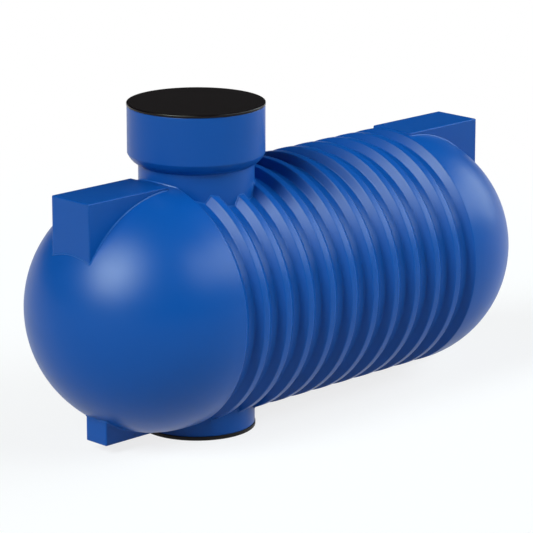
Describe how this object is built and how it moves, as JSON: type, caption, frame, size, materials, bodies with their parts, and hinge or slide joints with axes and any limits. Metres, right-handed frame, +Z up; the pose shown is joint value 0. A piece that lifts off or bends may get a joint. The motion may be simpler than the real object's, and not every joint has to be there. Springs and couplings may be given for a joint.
{
  "type": "grease trap",
  "caption": "Buried plastic grease trap: a ribbed tank lying between domed ends, with a collared access neck and lift-off lid, a sump well, and moulded inlet and outlet blocks.",
  "frame": {"origin": "centre of the object's outline seen from above, at the level of the sump's underside", "axes": "+X along the tank from the inlet end, which has the neck, to the outlet end, +Y across it, +Z up"},
  "size_m": [2.86, 1.2, 1.5966],
  "materials": {
    "blue_plastic": "satin moulded polyethylene",
    "black_plastic": "satin"
  },
  "bodies": {
    "tank": {"barrel_ring_01_left": "blue_plastic", "barrel_ring_01_right": "blue_plastic", "barrel_ring_02_left": "blue_plastic", "barrel_ring_02_right": "blue_plastic", "barrel_ring_03_left": "blue_plastic", "barrel_ring_03_right": "blue_plastic", "barrel_ring_04_left": "blue_plastic", "barrel_ring_04_right": "blue_plastic", "barrel_ring_05_left": "blue_plastic", "barrel_ring_05_right": "blue_plastic", "barrel_ring_06_left": "blue_plastic", "barrel_ring_06_right": "blue_plastic", "barrel_ring_07_left": "blue_plastic", "barrel_ring_07_right": "blue_plastic", "barrel_ring_08_left": "blue_plastic", "barrel_ring_08_right": "blue_plastic", "barrel_ring_09_left": "blue_plastic", "barrel_ring_09_right": "blue_plastic", "barrel_ring_10_left": "blue_plastic", "barrel_ring_10_right": "blue_plastic", "barrel_ring_11_left": "blue_plastic", "barrel_ring_11_right": "blue_plastic", "barrel_ring_12_left": "blue_plastic", "barrel_ring_12_right": "blue_plastic", "inlet_dome": "blue_plastic", "outlet_dome": "blue_plastic", "inlet_block": "blue_plastic", "outlet_block": "blue_plastic", "inlet_foot": "blue_plastic", "outlet_foot": "blue_plastic", "neck_tube": "blue_plastic", "neck_collar": "blue_plastic", "sump_tube": "blue_plastic", "sump_base": "black_plastic"},
    "lid": {"lid": "black_plastic"}
  },
  "joints": [
    {"name": "lid_lift", "type": "slide", "parent": "tank", "child": "lid", "axis": [0, 0, 1], "range_m": [0, 0.3]}
  ]
}
